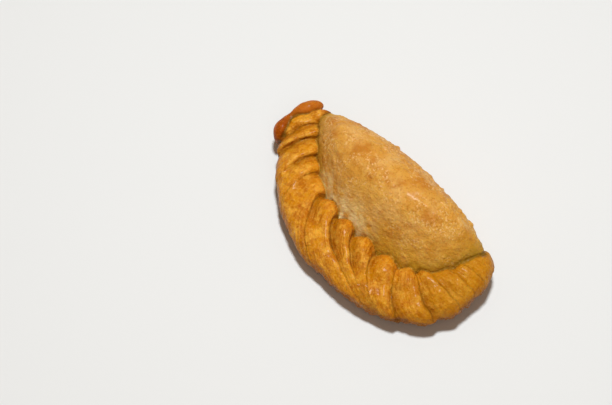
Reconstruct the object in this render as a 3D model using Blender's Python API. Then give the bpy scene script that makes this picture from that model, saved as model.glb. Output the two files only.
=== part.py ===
"""A fried empanada lying on its flat face.

The dough is folded over its filling along a nearly straight back. The half-round edge is pressed shut
and turned over on itself in pleats, which makes a twisted rope. Across the rope's first end lie a small
ear and the first fold. X runs along the fold, -Y is the rope's side, and the dome faces up.
"""

import math

import bmesh
import bpy
import numpy as np
from mathutils import Vector
from mathutils.geometry import interpolate_bezier

MM = 0.001

# The rope's centre line: three knots and the handles between them.
EAR_END = Vector((-62.0, 17.5, 10.5)) * MM
EAR_HANDLE = Vector((-54.0, -4.0, 10.0)) * MM
FRONT_HANDLE_LEFT = Vector((-30.0, -33.0, 8.5)) * MM
FRONT = Vector((3.0, -32.6, 8.0)) * MM
FRONT_HANDLE_RIGHT = Vector((41.0, -35.0, 8.0)) * MM
ROUND_HANDLE = Vector((55.0, -20.0, 8.5)) * MM
ROUND_END = Vector((45.5, 15.5, 10.5)) * MM
ROUTE_STEPS = 200

# The rope's section, and how its two ends round off.
ROPE_WIDTH = 19.5 * MM
ROPE_HEIGHT = 14.0 * MM
ROPE_EAR_END_LENGTH = 13.0 * MM
ROPE_ROUND_END_LENGTH = 17.0 * MM
ROPE_RINGS = 300
ROPE_SIDES = 84

# The creases between the pleats, from the ear to the round end. Each has the width in mm of the pleat
# before it, its depth in mm on the inner and on the outer side, how far over the rope it stays deep (0 on
# the inner side, 1 on the outer) and how many mm it has run on by the time it gets to the outer side.
CREASE_TABLE = np.array(
    [
        (0.0, 2.0, 1.0, 1.00, 10.0), (12.0, 3.0, 1.4, 0.90, 13.0), (8.0, 3.2, 1.2, 0.80, 11.0),
        (9.5, 3.2, 0.4, 0.45, 15.0), (9.5, 2.8, 0.1, 0.15, 18.0), (13.5, 3.2, 0.3, 0.25, 33.0),
        (14.5, 3.6, 0.2, 0.45, 52.0), (15.5, 3.2, 0.2, 0.36, 38.0), (14.0, 2.6, 0.2, 0.26, 21.0),
        (16.0, 3.2, 1.2, 0.90, 8.0), (14.0, 3.2, 1.2, 0.90, 5.0), (9.5, 2.8, 0.5, 0.60, 5.0),
        (9.0, 1.8, 0.3, 0.45, 2.0), (6.5, 1.5, 0.3, 0.40, 1.0), (14.5, 1.0, 0.3, 0.50, 0.0),
    ]
)
# How far in mm each pleat's knuckle bulges in over the dome, and how much of that is the knuckle's own.
KNUCKLES = np.array([2.0, 3.6, 1.8, 1.2, 2.2, 5.0, 6.4, 7.0, 6.2, 4.8, 2.6, -0.8, -4.2, -0.6]) * MM
KNUCKLE_SHARE = 0.5
KNUCKLE_SKEW = 0.75
PLEAT_CREST = 0.70
PLEAT_SWELL = 1.5 * MM
PLEAT_LEAN = 1.0 * MM
RISE_BEND = 1.9
DROP_BEND = 2.4
DROP_ROUND = 0.6
CREASE_SWEEP = 0.85
TOP_TO_FOOT = math.radians(30.0)
SMOOTH_FOOT_FROM = 9
SMOOTH_FOOT = 0.4
ROUND_END_SWELL = 1.2 * MM
ROUND_END_STARTS = 115.0 * MM
ROUND_END_FULL = 145.0 * MM

# The dome's ends, its peak line and its walls.
DOME_LEFT = -60.5 * MM
DOME_RIGHT = 54.5 * MM
DOME_HEIGHT = 37.0 * MM
DOME_PEAK_X = 3.0 * MM
DOME_PEAK_Y = 6.0 * MM
DOME_SET_BACK_LEFT = 13.0 * MM
DOME_SET_BACK_RIGHT = 7.0 * MM
DOME_REACH_LEFT = 68.0 * MM
DOME_REACH_RIGHT = 63.0 * MM
DOME_FLATNESS = 2.4
DOME_ROUNDNESS = 0.57
DOME_TUCK = 6.5 * MM
DOME_SPREAD = 2.2 * MM
SPREAD_FROM_X = 15.0 * MM
SPREAD_FULL_X = 35.0 * MM
END_BLUNTNESS_LEFT = 6.0
END_BLUNTNESS_RIGHT = 4.0
FRONT_BLUNTNESS = 1.6
FRONT_SLOPE = 1.8
FOLD_Y = 24.5 * MM
FOLD_BOW = 8.0 * MM
FOLD_BOW_X = -5.0 * MM
FOLD_EDGE_HEIGHT = 10.0 * MM
SEAM_EDGE_HEIGHT = 2.0 * MM
BELLY = 1.5 * MM
BELLY_ROUNDNESS = 0.6
DOME_RINGS = 140
DOME_SIDES = 110

# Two bent tongues of dough across the rope's first end: the ear, and the first fold that lies against it.
EAR = np.array([(-60.6, -8.5, 8.5), (-65.2, 3.5, 15.2), (-57.4, 18.8, 16.5)]) * MM
EAR_HALF_WIDTH = 5.4 * MM
EAR_WAIST = 0.30
EAR_TAPER = 0.25
FIRST_FOLD = np.array([(-56.5, -5.0, 11.0), (-57.0, 9.0, 16.5), (-49.8, 18.2, 16.2)]) * MM
FIRST_FOLD_HALF_WIDTH = 3.1 * MM
FIRST_FOLD_NARROW = 0.8
FIRST_FOLD_GROWTH = 0.6
TONGUE_TALL = 1.2
TONGUE_ALONG = (EAR[2] - EAR[0]) / np.linalg.norm(EAR[2] - EAR[0])
TONGUE_OUT = np.cross(TONGUE_ALONG, (0.0, 0.0, 1.0))
TONGUE_OUT /= np.linalg.norm(TONGUE_OUT)
TONGUE_UP = np.cross(TONGUE_OUT, TONGUE_ALONG)
TONGUE_RINGS = 60
TONGUE_SIDES = 40

# The skin over all of it.
VOXEL = 1.1 * MM
SOFTENING_PASSES = 3
FACES_KEPT = 0.2


def smooth_step(value, low, high):
    t = np.clip((value - low) / (high - low), 0.0, 1.0)
    return t * t * (3.0 - 2.0 * t)


# ---------------------------------------------------------------- the rope

def rope_route():
    """Points along the rope's centre line, the distance run at each, and the outward direction there."""
    first = interpolate_bezier(EAR_END, EAR_HANDLE, FRONT_HANDLE_LEFT, FRONT, ROUTE_STEPS)
    second = interpolate_bezier(FRONT, FRONT_HANDLE_RIGHT, ROUND_HANDLE, ROUND_END, ROUTE_STEPS)
    points = np.array([tuple(point) for point in first + second[1:]])
    run = np.concatenate([[0.0], np.cumsum(np.linalg.norm(np.diff(points, axis=0), axis=1))])
    along = np.gradient(points, run, axis=0)
    outward = np.stack([along[:, 1], -along[:, 0], 0.0 * run], axis=1)
    return points, run, outward / np.linalg.norm(outward, axis=1)[:, None]


ROUTE, RUN, OUTWARD = rope_route()
ROPE_LENGTH = RUN[-1]
CREASES = np.cumsum(CREASE_TABLE[:, 0]) * ROPE_LENGTH / CREASE_TABLE[:, 0].sum()


def at_run(run, table):
    """Reads a table kept along the route at these distances."""
    return np.stack([np.interp(run, RUN, table[:, axis]) for axis in range(3)], axis=1)


def crease_depth(crease, over):
    """How deep a crease is this far over the rope; the later ones barely notch its inner foot."""
    _, inner, outer, reach, _ = CREASE_TABLE[crease].T
    notch = SMOOTH_FOOT + (1.0 - SMOOTH_FOOT) * smooth_step(over, 0.05, 0.35)
    foot = np.where(crease >= SMOOTH_FOOT_FROM, notch, 1.0)
    return (inner + (outer - inner) * smooth_step(over - reach, -0.25, 0.2)) * foot * MM


def pleats_at(run, angle):
    """Which pleat this is, how far through it from 0 to 1, and how far it has sunk below its crest.

    A pleat rises slowly out of the crease before it and drops steeply into the one after it."""
    over = 0.5 + 0.5 * np.cos(angle + TOP_TO_FOOT)
    creases = CREASES[None, :] + CREASE_TABLE[None, :, 4] * MM * over[:, None] ** CREASE_SWEEP
    index = np.clip((run[:, None] >= creases).sum(axis=1) - 1, 0, len(CREASES) - 2)
    rows = np.arange(len(run))
    start, end = creases[rows, index], creases[rows, index + 1]
    through = np.clip((run - start) / (end - start), 0.0, 1.0)
    before = (1.0 - np.minimum(through / PLEAT_CREST, 1.0)) ** RISE_BEND
    past = np.clip((through - PLEAT_CREST) / (1.0 - PLEAT_CREST), 0.0, 1.0)
    after = 1.0 - (1.0 - past**DROP_BEND) ** DROP_ROUND
    sunk = before * crease_depth(index, over) + after * crease_depth(index + 1, over)
    return index, through, sunk


def rope_swell(run, angle):
    """How far the rope's surface is outside its plain section."""
    index, through, sunk = pleats_at(run, angle)
    common = np.interp(index + through, np.arange(len(KNUCKLES)) + 0.5, KNUCKLES)
    own = KNUCKLES[index] * np.sin(math.pi * through**KNUCKLE_SKEW)
    bulge = (common + KNUCKLE_SHARE * (own - common)) * smooth_step(-np.cos(angle), 0.0, 0.75)
    bulge += ROUND_END_SWELL * smooth_step(run, ROUND_END_STARTS, ROUND_END_FULL)
    return PLEAT_SWELL - sunk + bulge


def rope_place(along, angle):
    """The rope's surface: along it from 0 at the ear to 1, and round it from the outer side over the top."""
    run = along * ROPE_LENGTH
    swell = rope_swell(run, angle)
    end = np.minimum(run / ROPE_EAR_END_LENGTH, (ROPE_LENGTH - run) / ROPE_ROUND_END_LENGTH)
    girth = np.sqrt(1.0 - (1.0 - np.clip(end, 0.0, 1.0)) ** 2)
    run = np.clip(run + PLEAT_LEAN * np.clip(swell / PLEAT_SWELL, -1.5, 1.0), 0.0, ROPE_LENGTH)
    sideways = np.cos(angle) * (ROPE_WIDTH / 2.0 + swell) * girth
    points = at_run(run, ROUTE) + at_run(run, OUTWARD) * sideways[:, None]
    points[:, 2] += np.sin(angle) * (ROPE_HEIGHT / 2.0 + swell) * girth
    return points


# ---------------------------------------------------------------- the dome and the tongues

def seam_y(x):
    """The Y of the rope's centre line at this X, up to where it turns back."""
    turn = int(np.argmax(ROUTE[:, 0])) + 1
    return np.interp(x, ROUTE[:turn, 0], ROUTE[:turn, 1])


def dome_place(along, angle):
    """The dome's surface: along the fold from the ear to the round end, and round it from the fold's edge."""
    x = DOME_LEFT + (DOME_RIGHT - DOME_LEFT) * along
    away = np.abs(2.0 * along - 1.0)
    taper = np.sqrt(1.0 - away ** np.where(along < 0.5, END_BLUNTNESS_LEFT, END_BLUNTNESS_RIGHT))
    across, up = np.cos(angle), np.sin(angle)
    fold = FOLD_Y - FOLD_BOW * ((x - FOLD_BOW_X) / DOME_REACH_RIGHT) ** 2
    peak = DOME_PEAK_Y + np.where(along < 0.5, DOME_SET_BACK_LEFT, DOME_SET_BACK_RIGHT) * away**3
    back = peak + (fold - peak) * taper * across
    tuck = DOME_TUCK - DOME_SPREAD * smooth_step(x, SPREAD_FROM_X, SPREAD_FULL_X)
    front = peak + (peak - seam_y(x) - tuck) * np.minimum(1.0, FRONT_BLUNTNESS * taper) * across
    edge = SEAM_EDGE_HEIGHT + (FOLD_EDGE_HEIGHT - SEAM_EDGE_HEIGHT) * (0.5 + 0.5 * across * taper)
    reach = np.where(x < DOME_PEAK_X, DOME_REACH_LEFT, DOME_REACH_RIGHT)
    rise = np.clip(1.0 - np.abs((x - DOME_PEAK_X) / reach) ** DOME_FLATNESS, 0.0, 1.0)
    height = np.maximum(DOME_HEIGHT * rise**DOME_ROUNDNESS - edge, 0.0)
    steep = 1.0 + FRONT_SLOPE * smooth_step(-across, -0.2, 0.8)
    over = edge + height * taper * np.maximum(up, 0.0) ** steep
    under = edge - (edge + BELLY) * taper * np.maximum(-up, 0.0) ** BELLY_ROUNDNESS
    return np.stack([x, np.where(across > 0.0, back, front), np.where(up > 0.0, over, under)], axis=1)


def round_ends(t):
    return np.sqrt(np.clip(1.0 - (2.0 * t - 1.0) ** 4, 0.0, 1.0))


def ear_girth(t):
    return EAR_HALF_WIDTH * round_ends(t) * (1.0 - EAR_TAPER * t - EAR_WAIST * np.sin(math.pi * t) ** 6)


def first_fold_girth(t):
    return FIRST_FOLD_HALF_WIDTH * round_ends(t) * (FIRST_FOLD_NARROW + FIRST_FOLD_GROWTH * t)


def tongue_place(knots, girth):
    """The place function for a tongue with this middle line and this girth along it."""

    def place(along, angle):
        t = along[:, None]
        middle = knots[0] * (1.0 - t) ** 2 + knots[1] * 2.0 * t * (1.0 - t) + knots[2] * t * t
        sideways = np.cos(angle)[:, None] * TONGUE_OUT + TONGUE_TALL * np.sin(angle)[:, None] * TONGUE_UP
        return middle + sideways * girth(along)[:, None]

    return place


# ---------------------------------------------------------------- the solid

def add_lump(shape, rings, sides, place):
    """Adds a sphere, with each of its points moved to where place puts its latitude and longitude."""
    verts = bmesh.ops.create_uvsphere(shape, u_segments=sides, v_segments=rings, radius=1.0)["verts"]
    unit = np.array([tuple(vert.co) for vert in verts])
    along = np.arcsin(np.clip(unit[:, 2], -1.0, 1.0)) / math.pi + 0.5
    for vert, point in zip(verts, place(along, np.arctan2(unit[:, 1], unit[:, 0]))):
        vert.co = point


def empanada_lumps():
    """The dome, the rope and the tongues, moved so that the middle of their box is over the origin."""
    shape = bmesh.new()
    add_lump(shape, DOME_RINGS, DOME_SIDES, dome_place)
    add_lump(shape, ROPE_RINGS, ROPE_SIDES, rope_place)
    add_lump(shape, TONGUE_RINGS, TONGUE_SIDES, tongue_place(EAR, ear_girth))
    add_lump(shape, TONGUE_RINGS, TONGUE_SIDES, tongue_place(FIRST_FOLD, first_fold_girth))
    bmesh.ops.recalc_face_normals(shape, faces=shape.faces)
    lows = Vector([min(vert.co[axis] for vert in shape.verts) for axis in range(2)])
    highs = Vector([max(vert.co[axis] for vert in shape.verts) for axis in range(2)])
    bmesh.ops.translate(shape, verts=shape.verts, vec=-((lows + highs) / 2.0).to_3d())
    mesh = bpy.data.meshes.new("empanada")
    shape.to_mesh(mesh)
    shape.free()
    return mesh


def fried_dough():
    material = bpy.data.materials.new("fried_dough")
    material.use_nodes = True
    shader = material.node_tree.nodes["Principled BSDF"]
    shader.inputs["Base Color"].default_value = (0.60, 0.27, 0.05, 1.0)
    shader.inputs["Roughness"].default_value = 0.45
    shader.inputs["Metallic"].default_value = 0.0
    return material


def floor_cutter():
    """Takes off what would be under the surface that the empanada lies on."""
    mesh = bpy.data.meshes.new("floor_cutter")
    shape = bmesh.new()
    bmesh.ops.create_cube(shape, size=0.2)
    bmesh.ops.translate(shape, verts=shape.verts, vec=(0.0, 0.0, -0.1))
    shape.to_mesh(mesh)
    shape.free()
    cutter = bpy.data.objects.new("floor_cutter", mesh)
    cutter.hide_render = True
    cutter.display_type = "WIRE"
    bpy.context.scene.collection.objects.link(cutter)
    return cutter


def empanada():
    body = bpy.data.objects.new("empanada", empanada_lumps())
    body.data.materials.append(fried_dough())
    bpy.context.scene.collection.objects.link(body)
    one_skin = body.modifiers.new("one_skin", "REMESH")
    one_skin.mode = "VOXEL"
    one_skin.voxel_size = VOXEL
    one_skin.use_smooth_shade = True
    soften = body.modifiers.new("soften", "SMOOTH")
    soften.iterations = SOFTENING_PASSES
    fewer = body.modifiers.new("fewer_faces", "DECIMATE")
    fewer.ratio = FACES_KEPT
    flat = body.modifiers.new("flat_base", "BOOLEAN")
    flat.operation = "DIFFERENCE"
    flat.object = floor_cutter()


for leftover in list(bpy.data.objects):
    bpy.data.objects.remove(leftover)
empanada()
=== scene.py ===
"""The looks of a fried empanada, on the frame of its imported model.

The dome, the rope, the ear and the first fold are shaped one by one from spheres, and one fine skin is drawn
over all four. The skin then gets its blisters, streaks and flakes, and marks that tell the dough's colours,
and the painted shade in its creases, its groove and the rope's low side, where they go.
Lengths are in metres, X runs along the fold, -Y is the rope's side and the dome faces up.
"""

import math

import bmesh
import bpy
import numpy as np
from mathutils import Matrix, Vector, noise
from mathutils.bvhtree import BVHTree
from mathutils.geometry import interpolate_bezier


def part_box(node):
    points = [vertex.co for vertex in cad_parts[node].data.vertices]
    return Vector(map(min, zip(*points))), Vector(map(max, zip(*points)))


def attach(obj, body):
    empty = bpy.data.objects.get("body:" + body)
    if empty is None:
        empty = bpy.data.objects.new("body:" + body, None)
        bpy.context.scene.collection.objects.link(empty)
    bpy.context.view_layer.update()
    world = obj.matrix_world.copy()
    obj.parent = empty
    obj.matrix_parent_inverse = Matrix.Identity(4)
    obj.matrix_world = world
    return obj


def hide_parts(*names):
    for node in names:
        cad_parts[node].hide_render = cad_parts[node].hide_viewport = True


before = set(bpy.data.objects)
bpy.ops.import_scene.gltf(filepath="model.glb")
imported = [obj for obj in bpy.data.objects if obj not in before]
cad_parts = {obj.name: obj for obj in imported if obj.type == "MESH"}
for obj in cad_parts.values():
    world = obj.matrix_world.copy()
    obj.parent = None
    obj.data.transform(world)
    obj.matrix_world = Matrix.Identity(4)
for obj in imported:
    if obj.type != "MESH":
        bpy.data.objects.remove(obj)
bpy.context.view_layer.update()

MM = 0.001

# The rope's centre line: three knots and the handles between them.
EAR_END = Vector((-62.0, 17.5, 10.5)) * MM
EAR_HANDLE = Vector((-54.0, -4.0, 10.0)) * MM
FRONT_HANDLE_LEFT = Vector((-30.0, -33.0, 8.5)) * MM
FRONT = Vector((3.0, -32.6, 8.0)) * MM
FRONT_HANDLE_RIGHT = Vector((41.0, -35.0, 8.0)) * MM
ROUND_HANDLE = Vector((55.0, -20.0, 8.5)) * MM
ROUND_END = Vector((45.5, 15.5, 10.5)) * MM
ROUTE_STEPS = 200

# The rope's section, and how its two ends round off.
ROPE_WIDTH = 19.5 * MM
ROPE_HEIGHT = 14.0 * MM
ROPE_EAR_END_LENGTH = 13.0 * MM
ROPE_ROUND_END_LENGTH = 17.0 * MM
ROPE_RINGS = 480
ROPE_SIDES = 132

# The creases between the pleats, from the ear to the round end. Each has the width in mm of the pleat
# before it, its depth in mm on the inner and on the outer side, how far over the rope it stays deep (0 on
# the inner side, 1 on the outer) and how many mm it has run on by the time it gets to the outer side.
CREASE_TABLE = np.array(
    [
        (0.0, 2.0, 1.0, 1.00, 10.0), (12.0, 3.0, 1.4, 0.90, 13.0), (8.0, 3.2, 1.2, 0.80, 11.0),
        (9.5, 3.2, 0.4, 0.45, 15.0), (9.5, 2.8, 0.1, 0.15, 18.0), (13.5, 3.2, 0.3, 0.25, 33.0),
        (14.5, 3.6, 0.2, 0.45, 52.0), (15.5, 3.2, 0.2, 0.36, 38.0), (14.0, 2.6, 0.2, 0.26, 21.0),
        (16.0, 3.2, 1.2, 0.90, 8.0), (14.0, 3.2, 1.2, 0.90, 5.0), (9.5, 2.8, 0.5, 0.60, 5.0),
        (9.0, 1.8, 0.3, 0.45, 2.0), (6.5, 1.5, 0.3, 0.40, 1.0), (14.5, 1.0, 0.3, 0.50, 0.0),
    ]
)
# How far each pleat's knuckle bulges in over the dome. A share of it is the pleat's own round bulge, which
# leans towards the crease before it, and the rest runs smoothly from pleat to pleat.
KNUCKLES = np.array([2.0, 3.6, 1.8, 1.2, 2.2, 5.0, 6.4, 7.0, 6.2, 4.8, 2.6, -0.8, -4.2, -0.6]) * MM
KNUCKLE_SHARE = 0.5
KNUCKLE_LEAN = 0.75
# Towards the round end the rope thickens, and from this crease on only a share of the crease's depth is left
# at the rope's inner foot.
ROUND_END_SWELL = 1.2 * MM
ROUND_END_FROM = 115.0 * MM
ROUND_END_TO = 145.0 * MM
SMOOTH_FOOT_FROM = 9
SMOOTH_FOOT = 0.4
# A pleat's crest is this share of the way through it. Its slow rise and steep drop have these powers, and the
# higher it stands the further it leans on over the next one.
PLEAT_CREST = 0.70
PLEAT_RISE = 1.9
PLEAT_DROP = (2.4, 0.6)
PLEAT_LEAN = 1.0 * MM
PLEAT_SWELL = 1.5 * MM
# A crease starts this far above level on the inner side, where the rope meets the dome, and ends as far below
# level on the outer side. It runs on by this power of how far over it is, and wanders a little.
CREASE_TILT = math.radians(30.0)
CREASE_SWEEP = 0.85
CREASE_WANDER = 0.8 * MM
CREASE_WANDER_LENGTH = 11.0 * MM
# The rope is uneven in girth, in long swells and in short dents half as deep.
GIRTH_WANDER = 0.9 * MM
GIRTH_WANDER_LENGTH = 24.0 * MM
DENT_LENGTH = 7.0 * MM

# The dome's ends, its peak line and its walls.
DOME_LEFT = -60.5 * MM
DOME_RIGHT = 54.5 * MM
DOME_HEIGHT = 37.0 * MM
DOME_PEAK_X = 3.0 * MM
DOME_PEAK_Y = 6.0 * MM
DOME_REACH_LEFT = 68.0 * MM
DOME_REACH_RIGHT = 63.0 * MM
DOME_TUCK = 6.5 * MM
DOME_SPREAD = 2.2 * MM
DOME_SPREAD_FROM = 15.0 * MM
DOME_SPREAD_TO = 35.0 * MM
DOME_SET_BACK_LEFT = 13.0 * MM
DOME_SET_BACK_RIGHT = 7.0 * MM
FOLD_Y = 24.5 * MM
FOLD_BOW = 8.0 * MM
FOLD_BOW_X = -5.0 * MM
FOLD_EDGE_HEIGHT = 10.0 * MM
SEAM_EDGE_HEIGHT = 2.0 * MM
BELLY = 1.5 * MM
DOME_RINGS = 260
DOME_SIDES = 200

# Two bent tongues of dough across the rope's first end: the ear, and the first fold that lies against it.
EAR = np.array([(-60.6, -8.5, 8.5), (-65.2, 3.5, 15.2), (-57.4, 18.8, 16.5)]) * MM
EAR_HALF_WIDTH = 5.4 * MM
EAR_WAIST = 0.30
FIRST_FOLD = np.array([(-56.5, -5.0, 11.0), (-57.0, 9.0, 16.5), (-49.8, 18.2, 16.2)]) * MM
FIRST_FOLD_HALF_WIDTH = 3.1 * MM
TONGUE_TALL = 1.2
TONGUE_ALONG = (EAR[2] - EAR[0]) / np.linalg.norm(EAR[2] - EAR[0])
TONGUE_OUT = np.cross(TONGUE_ALONG, (0.0, 0.0, 1.0))
TONGUE_OUT /= np.linalg.norm(TONGUE_OUT)
TONGUE_UP = np.cross(TONGUE_OUT, TONGUE_ALONG)
TONGUE_RINGS = 90
TONGUE_SIDES = 64

# The skin, and the plainer lumps that its distances are measured to.
VOXEL = 0.54 * MM
SOFTENING_PASSES = 2
GAP_RINGS = 260
GAP_SIDES = 100

# Half the width over which one lump's looks turn into the next one's, and the groove between two lumps, which
# is carved in and darkened with painted shade, and fades out towards the floor.
BLEND = 0.3 * MM
GROOVE = 0.6 * MM
GROOVE_DEPTH = 0.7
GROOVE_FADE = (5.0 * MM, 9.0 * MM)

# A pattern on the rope runs across the pleat and round the rope, this share of its width to a radian. Each
# pleat has its own stretch of the pattern, so that streaks break off at the creases.
AROUND_SHARE = 0.45
ACROSS_STEP = 20.0 * MM
STREAK_STEP = 10.0 * MM
GRAIN_STEP = 13.0 * MM

# The sizes of the crust's unevenness, and each size's seed. Blisters have their share of the places too.
UNEVEN = (16.0 * MM, 5)
BUMPS = (4.0 * MM, 6)
RAGGED = (2.6 * MM, 7)
RAGGED_FINE = (1.3 * MM, 9)
STREAKS = (1.3 * MM, 4)
LIP_WAVES = (13.0 * MM, 8)
SMALL_BLISTERS = (2.6 * MM, 1, 0.55)
LARGE_BLISTERS = (6.0 * MM, 2, 0.2)

# How many mm each kind of unevenness lifts the skin of the dome, of its fold's edge, of the rope, of the
# rope's low outer side and of the ear.
DOME_RELIEF = {"uneven": 0.9, "bumps": 0.2, "small": 0.4, "large": 0.7, "ragged": 0.09}
FOLD_RELIEF = {"ragged": 0.4, "large": 0.5}
ROPE_RELIEF = {"bumps": 0.35, "streaks": 0.2, "small": 0.14, "ragged": 0.07, "under_lip": -1.3}
LOW_ROPE_RELIEF = {"ragged": 0.75}
EAR_RELIEF = {"bumps": 0.35, "small": 0.12}

# Where the colours go, painted shade among them. On the dome, strips beside the rope, and how far along the
# rope the skirt and the pale stretch of the foot come and go; the foot is partly and the rim wholly painted
# shade, and the pale stretch hides a share of the rim. On the rope, the depth at which a crease's painted
# shade is full. The tips of the first fold and the ear change colour between these two places along Y.
FOOT_WIDTH = 7.5 * MM
RIM_WIDTH = 3.0 * MM
SKIRT_WIDTH = 13.0 * MM
SKIRT_START = (30.0 * MM, 60.0 * MM)
PALE_START = (36.0 * MM, 52.0 * MM)
PALE_END = (80.0 * MM, 100.0 * MM)
PALE_RIM = 0.7
CREASE_SHADE_DEPTH = 3.0 * MM
FOLD_SKIN = (0.2 * MM, 1.0 * MM)
FOLD_TIP_Y = (21.0 * MM, 27.0 * MM)
EAR_TOP_Y = (6.0 * MM, 24.0 * MM)


def smooth_step(value, low, high):
    """0 up to low, 1 from high on, and a smooth rise between them."""
    t = np.clip((value - low) / (high - low), 0.0, 1.0)
    return t * t * (3.0 - 2.0 * t)


def lumps_of_noise(points, size, seed):
    """Smooth noise from about -1 to 1 at each point, its lumps this size."""
    shift = Vector((seed * 7.3, seed * 3.1, seed * 5.7))
    return np.array([noise.noise(Vector(point) + shift) for point in points / size])


# ---------------------------------------------------------------- the rope

def rope_route():
    """Points along the rope's centre line, the distance run at each, and the outward direction there."""
    first = interpolate_bezier(EAR_END, EAR_HANDLE, FRONT_HANDLE_LEFT, FRONT, ROUTE_STEPS)
    second = interpolate_bezier(FRONT, FRONT_HANDLE_RIGHT, ROUND_HANDLE, ROUND_END, ROUTE_STEPS)
    points = np.array([tuple(point) for point in first + second[1:]])
    run = np.concatenate([[0.0], np.cumsum(np.linalg.norm(np.diff(points, axis=0), axis=1))])
    along = np.gradient(points, run, axis=0)
    outward = np.stack([along[:, 1], -along[:, 0], 0.0 * run], axis=1)
    return points, run, outward / np.linalg.norm(outward, axis=1)[:, None]


ROUTE, RUN, OUTWARD = rope_route()
ROPE_LENGTH = RUN[-1]
CREASES = np.cumsum(CREASE_TABLE[:, 0]) * ROPE_LENGTH / CREASE_TABLE[:, 0].sum()
PLEAT_WIDTHS = np.diff(CREASES)


def at_run(run, table):
    """Reads a table kept along the route at these distances."""
    return np.stack([np.interp(run, RUN, table[:, axis]) for axis in range(3)], axis=1)


def crease_depth(crease, over):
    """How deep this crease is here, over the rope from 0 at its inner foot to 1 at its outer side."""
    _, inner, outer, reach, _ = CREASE_TABLE[crease].T
    smoothed = SMOOTH_FOOT + (1.0 - SMOOTH_FOOT) * smooth_step(over, 0.05, 0.35)
    foot = np.where(crease >= SMOOTH_FOOT_FROM, smoothed, 1.0)
    return (inner + (outer - inner) * smooth_step(over - reach, -0.25, 0.2)) * foot * MM


def pleats_at(run, angle):
    """Which pleat this is, how far through it from 0 to 1, and how far it has sunk below its crest.

    A pleat rises slowly out of the crease before it and drops steeply into the one after it."""
    over = 0.5 + 0.5 * np.cos(angle + CREASE_TILT)
    places = np.stack([run / CREASE_WANDER_LENGTH, 2.0 * np.cos(angle), 2.0 * np.sin(angle)], axis=1)
    run = run + CREASE_WANDER * lumps_of_noise(places, 1.0, 1)
    creases = CREASES[None, :] + CREASE_TABLE[None, :, 4] * MM * over[:, None] ** CREASE_SWEEP
    index = np.clip((run[:, None] >= creases).sum(axis=1) - 1, 0, len(PLEAT_WIDTHS) - 1)
    rows = np.arange(len(run))
    start, end = creases[rows, index], creases[rows, index + 1]
    through = np.clip((run - start) / (end - start), 0.0, 1.0)
    before = (1.0 - np.minimum(through / PLEAT_CREST, 1.0)) ** PLEAT_RISE
    past_crest = np.clip((through - PLEAT_CREST) / (1.0 - PLEAT_CREST), 0.0, 1.0)
    after = 1.0 - (1.0 - past_crest ** PLEAT_DROP[0]) ** PLEAT_DROP[1]
    sunk = before * crease_depth(index, over) + after * crease_depth(index + 1, over)
    return index, through, sunk


def rope_girth(run):
    """The rope's girth as a share of its full one, which falls to nothing at its two round ends."""
    end = np.minimum(run / ROPE_EAR_END_LENGTH, (ROPE_LENGTH - run) / ROPE_ROUND_END_LENGTH)
    return np.sqrt(1.0 - (1.0 - np.clip(end, 0.0, 1.0)) ** 2)


def rope_swell(run, angle):
    """How far the rope's surface is outside its plain section."""
    index, through, sunk = pleats_at(run, angle)
    places = np.stack([run / GIRTH_WANDER_LENGTH, np.cos(angle), np.sin(angle)], axis=1)
    dents = np.stack([run / DENT_LENGTH, 1.4 * np.cos(angle), 1.4 * np.sin(angle)], axis=1)
    uneven = GIRTH_WANDER * (lumps_of_noise(places, 1.0, 2) + 0.5 * lumps_of_noise(dents, 1.0, 3))
    common = np.interp(index + through, np.arange(len(KNUCKLES)) + 0.5, KNUCKLES)
    own = KNUCKLES[index] * np.sin(math.pi * through**KNUCKLE_LEAN)
    bulge = (common + KNUCKLE_SHARE * (own - common)) * smooth_step(-np.cos(angle), 0.0, 0.75)
    bulge += ROUND_END_SWELL * smooth_step(run, ROUND_END_FROM, ROUND_END_TO)
    return PLEAT_SWELL - sunk + uneven + bulge


def rope_place(along, angle):
    """The rope's surface: along it from 0 at the ear to 1, and round it from the outer side over the top."""
    run = along * ROPE_LENGTH
    swell = rope_swell(run, angle)
    girth = rope_girth(run)
    run = np.clip(run + PLEAT_LEAN * np.clip(swell / PLEAT_SWELL, -1.5, 1.0), 0.0, ROPE_LENGTH)
    sideways = np.cos(angle) * (ROPE_WIDTH / 2.0 + swell) * girth
    points = at_run(run, ROUTE) + at_run(run, OUTWARD) * sideways[:, None]
    points[:, 2] += np.sin(angle) * (ROPE_HEIGHT / 2.0 + swell) * girth
    return points


# ---------------------------------------------------------------- the dome, the ear and the first fold

def seam_y(x):
    """The Y of the rope's centre line at this X, up to where it turns back."""
    turn = int(np.argmax(ROUTE[:, 0])) + 1
    return np.interp(x, ROUTE[:turn, 0], ROUTE[:turn, 1])


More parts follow.
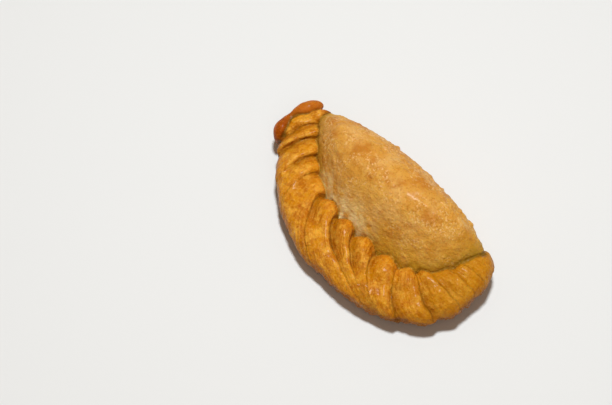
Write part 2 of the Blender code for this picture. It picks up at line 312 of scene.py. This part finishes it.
def dome_place(along, angle):
    """The dome's surface: along the fold from the ear to the round end, and round it from the fold's edge."""
    x = DOME_LEFT + (DOME_RIGHT - DOME_LEFT) * along
    away = np.abs(2.0 * along - 1.0)
    taper = np.sqrt(1.0 - away ** np.where(along < 0.5, 6.0, 4.0))
    across, up = np.cos(angle), np.sin(angle)
    fold = FOLD_Y - FOLD_BOW * ((x - FOLD_BOW_X) / DOME_REACH_RIGHT) ** 2
    peak = DOME_PEAK_Y + np.where(along < 0.5, DOME_SET_BACK_LEFT, DOME_SET_BACK_RIGHT) * away**3
    back = peak + (fold - peak) * taper * across
    tuck = DOME_TUCK - DOME_SPREAD * smooth_step(x, DOME_SPREAD_FROM, DOME_SPREAD_TO)
    front = peak + (peak - seam_y(x) - tuck) * np.minimum(1.0, 1.6 * taper) * across
    edge = SEAM_EDGE_HEIGHT + (FOLD_EDGE_HEIGHT - SEAM_EDGE_HEIGHT) * (0.5 + 0.5 * across * taper)
    reach = np.where(x < DOME_PEAK_X, DOME_REACH_LEFT, DOME_REACH_RIGHT)
    height = DOME_HEIGHT * np.clip(1.0 - np.abs((x - DOME_PEAK_X) / reach) ** 2.4, 0.0, 1.0) ** 0.57
    steep = 1.0 + 1.8 * smooth_step(-across, -0.2, 0.8)
    over = edge + np.maximum(height - edge, 0.0) * taper * np.maximum(up, 0.0) ** steep
    under = edge - (edge + BELLY) * taper * np.maximum(-up, 0.0) ** 0.6
    return np.stack([x, np.where(across > 0.0, back, front), np.where(up > 0.0, over, under)], axis=1)


def tongue_line(knots, t):
    """The middle line of a tongue, a quadratic curve from its first knot to its last."""
    t = t[:, None]
    return knots[0] * (1.0 - t) ** 2 + knots[1] * 2.0 * t * (1.0 - t) + knots[2] * t * t


def round_ends(t):
    """A girth that is full along most of a tongue and rounds off at its two ends."""
    return np.sqrt(np.clip(1.0 - (2.0 * t - 1.0) ** 4, 0.0, 1.0))


def ear_girth(t):
    """The ear is waisted, and a little thinner at its top."""
    return EAR_HALF_WIDTH * round_ends(t) * (1.0 - 0.25 * t - EAR_WAIST * np.sin(math.pi * t) ** 6)


def first_fold_girth(t):
    """The first fold grows towards its top."""
    return FIRST_FOLD_HALF_WIDTH * round_ends(t) * (0.8 + 0.6 * t)


def tongue_place(knots, girth):
    """The place function for a tongue with this middle line and this girth along it."""

    def place(along, angle):
        sideways = np.cos(angle)[:, None] * TONGUE_OUT + TONGUE_TALL * np.sin(angle)[:, None] * TONGUE_UP
        return tongue_line(knots, along) + sideways * girth(along)[:, None]

    return place


# ---------------------------------------------------------------- the skin

def add_lump(shape, rings, sides, place):
    """Adds a sphere, with each of its points moved to where place puts its latitude and longitude."""
    verts = bmesh.ops.create_uvsphere(shape, u_segments=sides, v_segments=rings, radius=1.0)["verts"]
    unit = np.array([tuple(vert.co) for vert in verts])
    along = np.arcsin(np.clip(unit[:, 2], -1.0, 1.0)) / math.pi + 0.5
    for vert, point in zip(verts, place(along, np.arctan2(unit[:, 1], unit[:, 0]))):
        vert.co = point


def remove_specks(mesh):
    """Keeps the mesh's largest piece: the voxel skin can leave a loose speck in a tight corner."""
    shape = bmesh.new()
    shape.from_mesh(mesh)
    seen = set()
    islands = []
    for start in shape.verts:
        if start in seen:
            continue
        seen.add(start)
        island = [start]
        for vert in island:
            for edge in vert.link_edges:
                other = edge.other_vert(vert)
                if other not in seen:
                    seen.add(other)
                    island.append(other)
        islands.append(island)
    largest = max(islands, key=len)
    specks = [vert for island in islands if island is not largest for vert in island]
    bmesh.ops.delete(shape, geom=specks, context="VERTS")
    shape.to_mesh(mesh)
    shape.free()


def skin():
    """One closed fine mesh over the dome, the rope, the ear and the first fold."""
    shape = bmesh.new()
    add_lump(shape, DOME_RINGS, DOME_SIDES, dome_place)
    add_lump(shape, ROPE_RINGS, ROPE_SIDES, rope_place)
    add_lump(shape, TONGUE_RINGS, TONGUE_SIDES, tongue_place(EAR, ear_girth))
    add_lump(shape, TONGUE_RINGS, TONGUE_SIDES, tongue_place(FIRST_FOLD, first_fold_girth))
    bmesh.ops.recalc_face_normals(shape, faces=shape.faces)
    mesh = bpy.data.meshes.new("lumps")
    shape.to_mesh(mesh)
    shape.free()
    lumps = bpy.data.objects.new("lumps", mesh)
    bpy.context.scene.collection.objects.link(lumps)
    one_skin = lumps.modifiers.new("one_skin", "REMESH")
    one_skin.mode = "VOXEL"
    one_skin.voxel_size = VOXEL
    soften = lumps.modifiers.new("soften", "SMOOTH")
    soften.iterations = SOFTENING_PASSES
    evaluated = lumps.evaluated_get(bpy.context.evaluated_depsgraph_get())
    whole = bpy.data.meshes.new_from_object(evaluated)
    bpy.data.objects.remove(lumps)
    remove_specks(whole)
    return whole


def points_of(mesh):
    """The mesh's points, one row each."""
    flat = np.empty(len(mesh.vertices) * 3, np.float32)
    mesh.vertices.foreach_get("co", flat)
    return flat.reshape(-1, 3).astype(float)


def normals_of(mesh):
    """The mesh's normals at its points, one row each."""
    flat = np.empty(len(mesh.vertices) * 3, np.float32)
    mesh.vertex_normals.foreach_get("vector", flat)
    return flat.reshape(-1, 3).astype(float)


def nearest_on(line, points):
    """The index of the line's point that is nearest to each of these points, seen from above."""
    found = []
    for part in np.array_split(points[:, :2], 40):
        gaps = ((part[:, None, :] - line[None, :, :2]) ** 2).sum(axis=2)
        found.append(gaps.argmin(axis=1))
    return np.concatenate(found)


def rope_coordinates(points):
    """Each point's distance along the rope and its angle round it."""
    near = nearest_on(ROUTE, points)
    along = np.stack([-OUTWARD[near, 1], OUTWARD[near, 0]], axis=1)
    run = np.clip(RUN[near] + ((points - ROUTE[near])[:, :2] * along).sum(axis=1), 0.0, ROPE_LENGTH)
    offset = points - at_run(run, ROUTE)
    return run, np.arctan2(offset[:, 2] / ROPE_HEIGHT, (offset * OUTWARD[near]).sum(axis=1) / ROPE_WIDTH)


def gap_to(points, place):
    """How far each point is from the surface of the lump with this place function."""
    shape = bmesh.new()
    add_lump(shape, GAP_RINGS, GAP_SIDES, place)
    tree = BVHTree.FromBMesh(shape)
    shape.free()
    return np.array([tree.find_nearest(Vector(point))[3] for point in points])


def blisters(points, size, seed, share):
    """Round bumps from 0 to 1, on this share of the places that could have one, each of its own height."""
    shift = Vector((seed * 11.0, seed * 5.0, seed * 2.0))
    heights = np.zeros(len(points))
    reach = 0.5
    for index, point in enumerate(points / size):
        gaps, centres = noise.voronoi(Vector(point) + shift)
        if gaps[0] < reach:
            strength = noise.cell(centres[0] * 3.7)
            if strength > 1.0 - 2.0 * share:
                heights[index] = (1.0 - (gaps[0] / reach) ** 2) ** 2 * (0.4 + 0.6 * abs(strength))
    return heights


def dough_map(points):
    """Where each point is: its place in the pleats, its distances, and how far it belongs to each lump."""
    run, angle = rope_coordinates(points)
    index, through, sunk = pleats_at(run, angle)
    off_dome = gap_to(points, dome_place)
    off_fold = gap_to(points, tongue_place(FIRST_FOLD, first_fold_girth))
    off_rope = np.minimum(gap_to(points, rope_place), off_fold)
    off_ear = gap_to(points, tongue_place(EAR, ear_girth))
    dome = smooth_step(np.minimum(off_rope, off_ear) - off_dome, -BLEND, BLEND)
    ear = smooth_step(np.minimum(off_rope, off_dome) - off_ear, -BLEND, BLEND)
    second = np.sort(np.stack([off_dome, off_rope, off_ear]), axis=0)[1]
    return {
        "run": run,
        "angle": angle,
        "index": index,
        "sunk": sunk,
        "across_pleat": through * PLEAT_WIDTHS[index] + index * ACROSS_STEP,
        "around": angle * ROPE_WIDTH * AROUND_SHARE,
        "off_rope": off_rope,
        "off_fold": off_fold,
        "dome": dome,
        "ear": ear,
        "rope": np.clip(1.0 - dome - ear, 0.0, 1.0),
        # The groove mark is carved into the skin and also darkens the colour as painted shade.
        "groove": np.exp(-((second / GROOVE) ** 2)) * smooth_step(points[:, 2], *GROOVE_FADE),
    }


def unevenness(points, where):
    """The kinds of unevenness at each point: blisters and bumps all over, streaks along the pleats, and the
    flaky lip that the rope's outer side ends in."""
    run, angle, index = where["run"], where["angle"], where["index"]
    streak_place = np.stack([where["across_pleat"], where["around"] / 3.0, index * STREAK_STEP], axis=1)
    ragged = lumps_of_noise(points, *RAGGED) + 0.6 * lumps_of_noise(points, *RAGGED_FINE)
    lip_line = 0.2 + 0.3 * lumps_of_noise(np.stack([run, 0.0 * run, 0.0 * run], axis=1), *LIP_WAVES)
    below_line = smooth_step(lip_line + 0.15 * ragged - angle, -0.03, 0.05)
    return {
        "uneven": lumps_of_noise(points, *UNEVEN),
        "bumps": lumps_of_noise(points, *BUMPS),
        "ragged": ragged,
        "streaks": lumps_of_noise(streak_place, *STREAKS),
        "small": blisters(points, *SMALL_BLISTERS),
        "large": blisters(points, *LARGE_BLISTERS),
        "under_lip": below_line * smooth_step(np.cos(angle), -0.1, 0.2),
    }


def rise_of(where, kinds, normals):
    """How many mm each point rises from the smooth skin."""

    def lifted(amounts):
        return sum(amount * kinds[kind] for kind, amount in amounts.items())

    angle = where["angle"]
    low_rope = where["rope"] * smooth_step(-np.sin(angle), -0.2, 0.3) * smooth_step(np.cos(angle), 0.0, 0.5)
    fold_edge = where["dome"] * smooth_step(normals[:, 1], 0.2, 0.7)
    rise = where["dome"] * lifted(DOME_RELIEF) + fold_edge * lifted(FOLD_RELIEF)
    rise += where["rope"] * lifted(ROPE_RELIEF) + low_rope * lifted(LOW_ROPE_RELIEF)
    return rise + where["ear"] * lifted(EAR_RELIEF) - GROOVE_DEPTH * where["groove"]


def colour_marks(points, where, kinds):
    """Marks from 0 to 1 that say where each of the dough's colours goes, and where painted shade goes: the
    creases, the groove, the dome's rim, part of its olive foot and the rope's lower outer side.
    """
    run, angle = where["run"], where["angle"]
    dome, rope, ear = where["dome"], where["rope"], where["ear"]
    y = points[:, 1]

    def near_rope(width):
        return dome * np.exp(-((where["off_rope"] / width) ** 2))

    # Painted shade: the crease mark darkens the rope the deeper a crease is sunk.
    crease = np.clip(where["sunk"] / CREASE_SHADE_DEPTH, 0.0, 1.0) ** 1.5 * rope
    inner = smooth_step(-np.cos(angle), 0.2, 0.9) * smooth_step(np.sin(angle), -0.6, 0.2)
    pale = smooth_step(run, *PALE_START) * (1.0 - smooth_step(run, *PALE_END))
    on_fold = 1.0 - smooth_step(where["off_fold"], *FOLD_SKIN)
    return {
        "rope": rope,
        "ear": ear,
        "groove": where["groove"],
        "crease": crease,
        "knuckle": rope * inner * (1.0 - crease),
        "blister": np.clip(kinds["small"] + kinds["large"], 0.0, 1.0),
        "first_fold_tip": on_fold * smooth_step(y, *FOLD_TIP_Y),
        "round_end": rope * smooth_step(run, ROUND_END_FROM, ROUND_END_TO),
        "ear_top": ear * smooth_step(y, *EAR_TOP_Y),
        # The foot's olive is partly dough tone and partly painted shade beside the rope; the rim is painted
        # shade.
        "foot": near_rope(FOOT_WIDTH),
        "rim": near_rope(RIM_WIDTH) * (1.0 - PALE_RIM * pale),
        "skirt": near_rope(SKIRT_WIDTH) * smooth_step(run, *SKIRT_START),
        "pale": dome * pale,
        # The lip mark covers the rope's lower outer side: the flaky brown edge, and painted shade on the
        # downward-facing side.
        "lip": rope * smooth_step(-np.sin(angle), -0.85, 0.1) * smooth_step(np.cos(angle), 0.0, 0.5),
    }


def empanada():
    """The whole pastry as one piece, flat where it lies, with its marks as attributes of its mesh."""
    mesh = skin()
    points = points_of(mesh)
    normals = normals_of(mesh)
    where = dough_map(points)
    kinds = unevenness(points, where)
    points += normals * (rise_of(where, kinds, normals) * MM)[:, None]
    points[:, 2] = np.maximum(points[:, 2], 0.0)
    low, high = (np.array(corner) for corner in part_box("empanada"))
    off_centre = (points.min(axis=0) + points.max(axis=0)) / 2.0 - (low + high) / 2.0
    points[:, :2] -= off_centre[:2]
    mesh.vertices.foreach_set("co", points.astype(np.float32).ravel())

    for name, values in colour_marks(points, where, kinds).items():
        mark = mesh.attributes.new(name, "FLOAT", "POINT")
        mark.data.foreach_set("value", values.astype(np.float32))
    grain = np.stack([where["across_pleat"], where["around"], where["index"] * GRAIN_STEP], axis=1)
    pleat_grain = mesh.attributes.new("pleat_grain", "FLOAT_VECTOR", "POINT")
    pleat_grain.data.foreach_set("vector", grain.astype(np.float32).ravel())
    mesh.name = "empanada_crust"
    mesh.shade_smooth()
    crust = bpy.data.objects.new("empanada_crust", mesh)
    bpy.context.scene.collection.objects.link(crust)
    return crust


# ---------------------------------------------------------------- finishes

def linear(code):
    """An sRGB hex colour as linear RGBA."""
    parts = [int(code[at : at + 2], 16) / 255.0 for at in (1, 3, 5)]
    return [part / 12.92 if part <= 0.04045 else ((part + 0.055) / 1.055) ** 2.4 for part in parts] + [1.0]


def add_node(tree, kind, settings=None, inputs=None):
    """Adds a node; settings are its own values, inputs its sockets' values or the sockets that feed them."""
    node = tree.nodes.new(kind)
    for name, value in (settings or {}).items():
        setattr(node, name, value)
    for name, value in (inputs or {}).items():
        if isinstance(value, bpy.types.NodeSocket):
            tree.links.new(value, node.inputs[name])
        else:
            node.inputs[name].default_value = value
    return node


def fried_dough():
    """Wheat dough fried in oil: golden where it blistered, orange and glossy where it was rolled and pressed,
    pale where the oil didn't reach, olive beside the rope, and red-brown at the thin ear. Painted shade
    darkens the creases, the groove, the rope's lower outer side, the dome's rim and part of its olive foot;
    painted glints fleck the rope and the ear, and the rope's light streaks are partly painted sheen. Oil
    leaves a soft sheen, and light passes a little way into the crust."""
    material = bpy.data.materials.new("fried_wheat_dough")
    material.use_nodes = True
    tree = material.node_tree
    tree.nodes.clear()
    place = add_node(tree, "ShaderNodeTexCoord").outputs["Object"]

    def mark(name, output="Fac"):
        return add_node(tree, "ShaderNodeAttribute", {"attribute_name": name}).outputs[output]

    def blotches(size, detail=3.0, vector=place, low=0.35, high=0.65, scale=(1.0, 1.0, 1.0)):
        """Noise with patches of this size, stretched so that low is 0 and high is 1."""
        moved = add_node(tree, "ShaderNodeMapping", {}, {"Vector": vector, "Scale": scale}).outputs["Vector"]
        noise_inputs = {"Vector": moved, "Scale": 1.0 / size, "Detail": detail}
        texture = add_node(tree, "ShaderNodeTexNoise", {}, noise_inputs)
        spread = {"Value": texture.outputs["Fac"], "From Min": low, "From Max": high}
        stretched = add_node(tree, "ShaderNodeMapRange", {"interpolation_type": "SMOOTHSTEP"}, spread)
        return stretched.outputs["Result"]

    def times(first, second):
        return add_node(tree, "ShaderNodeMath", {"operation": "MULTIPLY"}, {0: first, 1: second}).outputs[0]

    def plus(first, second):
        return add_node(tree, "ShaderNodeMath", {"operation": "ADD"}, {0: first, 1: second}).outputs[0]

    def mix(factor, first, second):
        node = add_node(tree, "ShaderNodeMix", {"data_type": "RGBA"}, {0: factor})
        for socket, value in ((6, first), (7, second)):
            if isinstance(value, bpy.types.NodeSocket):
                tree.links.new(value, node.inputs[socket])
            else:
                node.inputs[socket].default_value = linear(value)
        return node.outputs[2]

    grain = mark("pleat_grain", "Vector")
    rope, crease, ear = mark("rope"), mark("crease"), mark("ear")
    streaks = blotches(1.1 * MM, 3.0, grain, 0.35, 0.7, (1.0, 0.3, 1.0))

    # The dome: golden, ochre where it browned more, pale where it blistered. Beside the rope it has a yellow
    # skirt, a foot that is olive, partly dough tone and partly painted shade, and in one stretch pale, and a
    # dark rim of painted shade.
    patches = blotches(7 * MM, 3.0, low=0.4, high=0.62)
    dome_colour = mix(blotches(20 * MM, 4.0), "#daa046", "#d08e34")
    dome_colour = mix(times(blotches(12 * MM, 4.0, low=0.48, high=0.66), 0.5), dome_colour, "#e4b46c")
    dome_colour = mix(times(blotches(8 * MM, 5.0, low=0.48, high=0.7), 0.65), dome_colour, "#b46408")
    speckles = times(blotches(1.0 * MM, 4.0, low=0.48, high=0.68), patches)
    dome_colour = mix(times(blotches(3 * MM, 5.0, low=0.48, high=0.68), 0.45), dome_colour, "#b8700e")
    dome_colour = mix(times(speckles, 0.7), dome_colour, "#f4c886")
    dome_colour = mix(times(blotches(0.9 * MM, 3.0, low=0.52, high=0.7), 0.45), dome_colour, "#a65c06")
    dome_colour = mix(times(mark("blister"), 0.2), dome_colour, "#e4ae5c")
    skirt = times(mark("skirt"), blotches(6 * MM, 4.0, low=0.25, high=0.6))
    dome_colour = mix(times(skirt, 0.4), dome_colour, "#eab43a")
    foot = times(mark("foot"), blotches(5 * MM, 4.0, low=0.3, high=0.6))
    # The olive foot is partly dough tone and partly painted shade.
    dome_colour = mix(times(foot, 0.38), dome_colour, "#b8901c")
    dome_colour = mix(times(times(foot, mark("pale")), 0.95), dome_colour, "#f4dca0")
    # Painted shade: a dark band on the dome where it meets the rope.
    dome_colour = mix(times(mark("rim"), 0.65), dome_colour, "#94700a")

    # The rope: orange, with lighter and browner patches, light streaks that are partly painted sheen, small
    # light flecks that are painted glints, redder at the knuckles, red-brown at the first fold's tip, brown
    # at the flaky lip with painted shade on the lower outer side, and painted shade darkening the creases.
    rope_colour = mix(blotches(10 * MM, 4.0), "#cf8404", "#b66600")
    rope_colour = mix(times(blotches(5 * MM, 4.0, low=0.46, high=0.64), 0.72), rope_colour, "#f0b03a")
    rope_colour = mix(times(blotches(3 * MM, 4.0, low=0.46, high=0.64), 0.68), rope_colour, "#ac5800")
    # The light streaks are partly the dough's own streaks and partly painted sheen of oil.
    rope_colour = mix(times(streaks, 0.32), rope_colour, "#eeaa3c")
    # Painted glints: small light flecks stand in for the oil's shine.
    rope_colour = mix(times(blotches(1.0 * MM, 3.0, low=0.5, high=0.72), 0.4), rope_colour, "#f0b04c")
    rope_colour = mix(times(blotches(0.8 * MM, 3.0, low=0.54, high=0.7), 0.3), rope_colour, "#a45200")
    rope_colour = mix(times(mark("knuckle"), 0.25), rope_colour, "#d87c1c")
    rope_colour = mix(times(mark("first_fold_tip"), 0.8), rope_colour, "#a84a0c")
    rope_colour = mix(times(mark("round_end"), 0.45), rope_colour, "#b87c0c")
    # Partly the flaky lip's brown, partly painted shade on the rope's downward-facing outer side.
    rope_colour = mix(times(mark("lip"), 0.85), rope_colour, "#985a1a")
    # Painted shade: the creases are darkened to brown by their depth.
    rope_colour = mix(times(crease, 0.65), rope_colour, "#844c00")

    # The thin ear: red-brown, lighter at its top, with light specks that are painted glints. Where two lumps
    # meet, the groove is darkened with painted shade in dark olive.
    ear_colour = mix(blotches(5 * MM, 4.0), "#9a4400", "#b45600")
    ear_colour = mix(times(mark("ear_top"), 0.5), ear_colour, "#cc7c24")
    # Painted glints: light specks on the ear.
    ear_colour = mix(times(blotches(1.2 * MM, 3.0, low=0.5, high=0.72), 0.4), ear_colour, "#cc7822")
    colour = mix(rope, dome_colour, rope_colour)
    colour = mix(ear, colour, ear_colour)
    # Painted shade: the groove between lumps is darkened to dark olive.
    colour = mix(times(mark("groove"), 0.8), colour, "#5e4408")

    # The rolled rope is glossier than the blistered dome. The crust's finest pores are drawn at 0.7 mm,
    # coarser than real ones, so that they show.
    roughness = add_node(
        tree, "ShaderNodeMapRange", {}, {"Value": rope, "To Min": 0.48, "To Max": 0.36}
    ).outputs["Result"]
    fine = blotches(0.7 * MM, 3.0, low=0.2, high=0.8)
    pores = blotches(1.8 * MM, 4.0, low=0.2, high=0.8)
    relief = plus(times(fine, 0.35), times(pores, 0.65))
    relief = plus(relief, times(times(streaks, rope), 0.4))
    strength = add_node(
        tree, "ShaderNodeMapRange", {}, {"Value": rope, "To Min": 0.7, "To Max": 0.85}
    ).outputs["Result"]
    bump_inputs = {"Height": relief, "Strength": strength, "Distance": 0.5 * MM}
    bump = add_node(tree, "ShaderNodeBump", {}, bump_inputs)

    shader = add_node(
        tree,
        "ShaderNodeBsdfPrincipled",
        {"subsurface_method": "RANDOM_WALK"},
        {
            "Base Color": colour,
            "Roughness": roughness,
            "IOR": 1.45,
            "Subsurface Weight": 0.25,
            "Subsurface Radius": (1.0, 0.45, 0.15),
            "Subsurface Scale": 1.5 * MM,
            "Specular IOR Level": 0.22,
            "Specular Tint": linear("#f4d4a0"),
            "Coat Weight": 0.06,
            "Coat Roughness": 0.18,
            "Normal": bump.outputs["Normal"],
        },
    )
    add_node(tree, "ShaderNodeOutputMaterial", {}, {"Surface": shader.outputs["BSDF"]})
    return material


def studio_paper():
    """Matt white background paper."""
    material = bpy.data.materials.new("white_background_paper")
    material.use_nodes = True
    shader = material.node_tree.nodes["Principled BSDF"]
    shader.inputs["Base Color"].default_value = linear("#e2e2e1")
    shader.inputs["Roughness"].default_value = 0.9
    shader.inputs["Specular IOR Level"].default_value = 0.1
    return material


# ---------------------------------------------------------------- floor, light and camera

def studio_floor():
    """A plain floor, far larger than the pastry."""
    shape = bmesh.new()
    bmesh.ops.create_grid(shape, x_segments=1, y_segments=1, size=3.0)
    mesh = bpy.data.meshes.new("studio_floor")
    shape.to_mesh(mesh)
    shape.free()
    floor = bpy.data.objects.new("studio_floor", mesh)
    floor.data.materials.append(studio_paper())
    bpy.context.scene.collection.objects.link(floor)


def aimed(obj, place, target):
    """Puts a light or a camera at this place, turned so that it looks at the target."""
    back = (place - target).normalized()
    right = Vector((0.0, 0.0, 1.0)).cross(back).normalized()
    turn = Matrix((right, back.cross(right), back)).transposed().to_4x4()
    obj.matrix_world = Matrix.Translation(place) @ turn
    bpy.context.scene.collection.objects.link(obj)


def softbox(name, direction, distance, size, power):
    """A round softbox this many metres away and across, of this many watts, aimed at the pastry."""
    light = bpy.data.lights.new(name, "AREA")
    light.color = linear("#f3f9fc")[:3]
    light.shape = "DISK"
    light.size = size
    light.energy = power
    holder = bpy.data.objects.new(name, light)
    aimed(holder, Vector(direction).normalized() * distance, Vector((0.0, 0.0, 0.01)))


def studio_light():
    """One small softbox overhead, a large faint one in front, and a warm room that fills the shadows."""
    softbox("overhead_softbox", direction=(-0.07, 0.09, 1.0), distance=1.1, size=0.16, power=12.1)
    softbox("front_softbox", direction=(0.8, -0.7, 1.4), distance=1.3, size=0.9, power=1.4)
    world = bpy.data.worlds.new("studio")
    world.use_nodes = True
    background = world.node_tree.nodes["Background"]
    background.inputs["Color"].default_value = linear("#ffd9b4")
    background.inputs["Strength"].default_value = 0.20
    bpy.context.scene.world = world


def photographer():
    """A camera that looks down on the rope's front, from the round end's side."""
    camera = bpy.data.cameras.new("camera")
    camera.lens = 90.0
    camera.sensor_width = 36.0
    camera.clip_start = 0.05
    azimuth, elevation, distance = math.radians(45.0), math.radians(60.0), 0.70
    target = Vector((-25.2, -11.8, 8.0)) * MM
    away = Vector((math.sin(azimuth), -math.cos(azimuth), 0.0)) * math.cos(elevation)
    away.z = math.sin(elevation)
    holder = bpy.data.objects.new("camera", camera)
    aimed(holder, target + away * distance, target)
    bpy.context.scene.camera = holder
    bpy.context.scene.view_settings.view_transform = "Standard"


crust = empanada()
crust.data.materials.append(fried_dough())
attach(crust, "root")
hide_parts("empanada")
studio_floor()
studio_light()
photographer()
